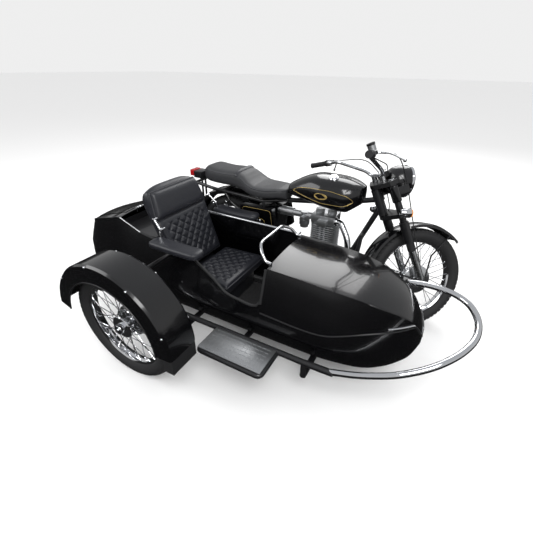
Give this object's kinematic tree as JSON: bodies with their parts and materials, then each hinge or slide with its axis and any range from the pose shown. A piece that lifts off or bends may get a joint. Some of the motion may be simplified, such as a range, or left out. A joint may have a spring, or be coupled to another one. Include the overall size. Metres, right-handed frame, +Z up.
{
  "type": "sidecar motorcycle",
  "caption": "Classic single-cylinder motorcycle with a black open sidecar, quilted seat, spoked wheels, step plate and chrome bumper hoop; wheels and steering turn.",
  "frame": {"origin": "on the ground, under the middle of the vehicle's bounding box", "axes": "+X forward, +Y to the rider's left (the motorcycle's side), +Z up; the sidecar is on the -Y side"},
  "size_m": [2.4726, 1.6294, 1.195],
  "materials": {
    "alloy": "cast, bead blasted",
    "black_frame": "satin",
    "black_paint": "gloss",
    "black_plastic": "matt",
    "chequer": "chequered",
    "chrome": "polished",
    "leather": "fine grain, quilted",
    "red_lens": "clear gloss",
    "rubber": "matt",
    "seat_vinyl": "grained vinyl",
    "steel": "satin",
    "tyre": "matt"
  },
  "bodies": {
    "chassis": {"frame": "black_frame", "engine_block": "alloy", "engine_barrel": "alloy", "carburettor": "alloy", "exhaust": "chrome", "fuel_tank": "black_paint", "fuel_cap": "chrome", "rider_seat": "seat_vinyl", "side_panels": "black_paint", "rear_mudguard": "black_paint", "tail_light": "red_lens", "swingarm": "black_frame", "rear_shocks": "chrome", "chain_case": "black_paint", "foot_controls": "steel", "sidecar_frame": "black_frame", "sidecar_axle": "black_frame", "sidecar_tub": "black_paint", "sidecar_hood": "black_paint", "cockpit_trim": "rubber", "grab_rail": "chrome", "seat_back": "leather", "seat_cushion": "leather", "armrests": "leather", "floor_mat": "rubber", "step_plate": "chequer", "bumper_hoop": "chrome", "sidecar_mudguard": "black_paint", "guard_box": "black_plastic"},
    "steering": {"fork": "black_frame", "headlight": "black_paint", "handlebar": "chrome", "grips": "rubber", "hand_levers": "black_plastic", "indicators": "chrome", "front_mudguard": "black_paint"},
    "front_wheel": {"front_tyre": "tyre", "front_rim": "chrome"},
    "rear_wheel": {"rear_tyre": "tyre", "rear_rim": "chrome"},
    "sidecar_wheel": {"sidecar_tyre": "tyre", "sidecar_rim": "chrome"},
    "centre_stand": {"centre_stand": "black_frame"},
    "boot_lid": {"boot_lid": "black_paint"}
  },
  "joints": [
    {"name": "steering_turn", "type": "hinge", "parent": "chassis", "child": "steering", "pos_m": [0.58012, 0.49631, 0.80191], "axis": [-0.454, 0, 0.891], "range_deg": [-82, 0]},
    {"name": "front_wheel_spin", "type": "hinge", "parent": "steering", "child": "front_wheel", "pos_m": [0.87504, 0.53633, 0.32098], "axis": [-0.5962, 0.7431, -0.3038], "continuous": true},
    {"name": "rear_wheel_spin", "type": "hinge", "parent": "chassis", "child": "rear_wheel", "pos_m": [-0.48129, 0.49631, 0.328], "axis": [0, 1, 0], "continuous": true},
    {"name": "sidecar_wheel_spin", "type": "hinge", "parent": "chassis", "child": "sidecar_wheel", "pos_m": [-0.38129, -0.71869, 0.328], "axis": [0, 1, 0], "continuous": true},
    {"name": "centre_stand_fold", "type": "hinge", "parent": "chassis", "child": "centre_stand", "pos_m": [-0.04129, 0.49631, 0.18], "axis": [0, 1, 0], "range_deg": [-70, 0]},
    {"name": "boot_lid_hinge", "type": "hinge", "parent": "chassis", "child": "boot_lid", "pos_m": [-0.87529, -0.04369, 0.676], "axis": [0, 1, 0], "range_deg": [0, 75]}
  ]
}
